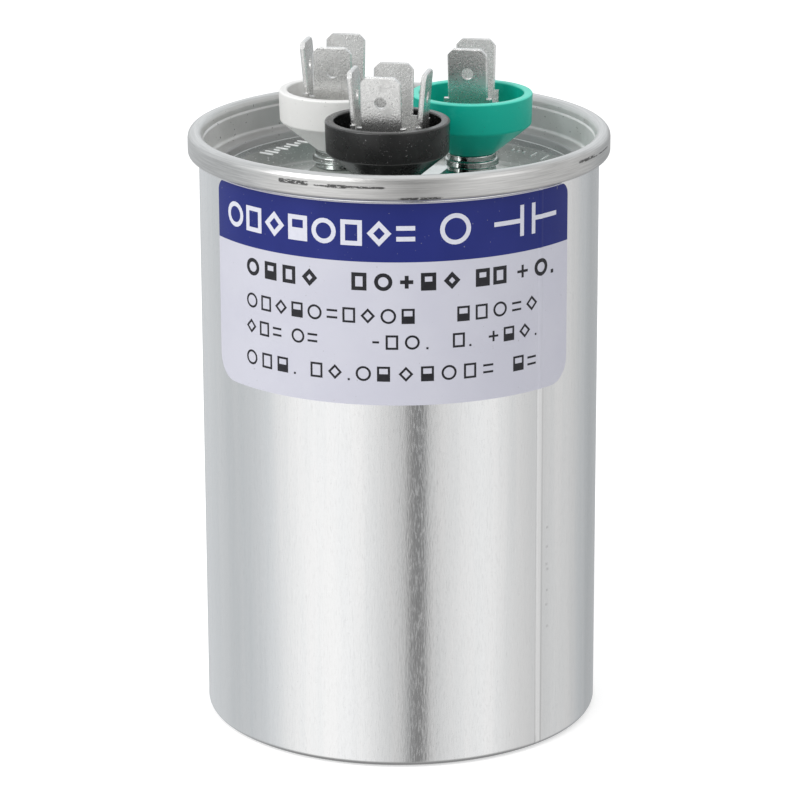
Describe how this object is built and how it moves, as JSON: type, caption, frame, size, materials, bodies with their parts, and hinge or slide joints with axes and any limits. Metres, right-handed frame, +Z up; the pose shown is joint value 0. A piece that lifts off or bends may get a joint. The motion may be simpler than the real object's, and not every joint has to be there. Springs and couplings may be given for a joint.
{
  "type": "motor run capacitor",
  "caption": "Round two-section motor run capacitor: drawn can with a double-seamed lid, blue and pale label, and insulated terminals with push-on tabs.",
  "frame": {"origin": "centre of the can's flat bottom", "axes": "+Z up along the can's axis, -Y towards the middle of the label, +X to the viewer's right"},
  "size_m": [0.067, 0.067, 0.1083],
  "materials": {
    "can_aluminium": "bright drawn and lightly brushed down the wall",
    "lid_tinplate": "bright pressed tinplate, burnished round the seam",
    "seam_rubber": "dull",
    "label_film": "satin printed film, pale panel under a blue band",
    "cup_black": "satin moulded",
    "cup_white": "satin moulded",
    "cup_green": "satin moulded",
    "tab_tinned_brass": "satin tinned, sheared and bevelled edges",
    "rivet_steel": "plated",
    "insulator_plastic": "moulded",
    "lug_brass": "stamped",
    "lead_tinned_copper": "tinned strip",
    "phenolic_board": "pressed board",
    "insulator_card": "pressed card",
    "core_plastic": "extruded tube",
    "wrap_film": "clear film, many turns",
    "metallised_film": "wound metallised film",
    "sprayed_zinc": "rough sprayed metal"
  },
  "bodies": {
    "root": {"can": "can_aluminium", "lid": "lid_tinplate", "seam_compound": "seam_rubber", "label": "label_film", "cup_common": "cup_black", "cup_compressor": "cup_white", "cup_fan": "cup_green", "tabs_common": "tab_tinned_brass", "tabs_compressor": "tab_tinned_brass", "tabs_fan": "tab_tinned_brass", "rivet_common": "rivet_steel", "rivet_compressor": "rivet_steel", "rivet_fan": "rivet_steel", "bushing_common": "insulator_plastic", "bushing_compressor": "insulator_plastic", "bushing_fan": "insulator_plastic", "lug_common": "lug_brass", "lug_compressor": "lug_brass", "lug_fan": "lug_brass", "lead_common": "lead_tinned_copper", "lead_compressor": "lead_tinned_copper", "lead_fan": "lead_tinned_copper", "disconnect_plate": "phenolic_board", "spacer_ring": "insulator_card", "core_tube": "core_plastic", "section_fan": "metallised_film", "section_compressor": "metallised_film", "divider_wrap": "wrap_film", "outer_wrap": "wrap_film", "zinc_common": "sprayed_zinc", "zinc_compressor": "sprayed_zinc", "zinc_fan": "sprayed_zinc", "base_cup": "insulator_plastic"}
  },
  "joints": []
}
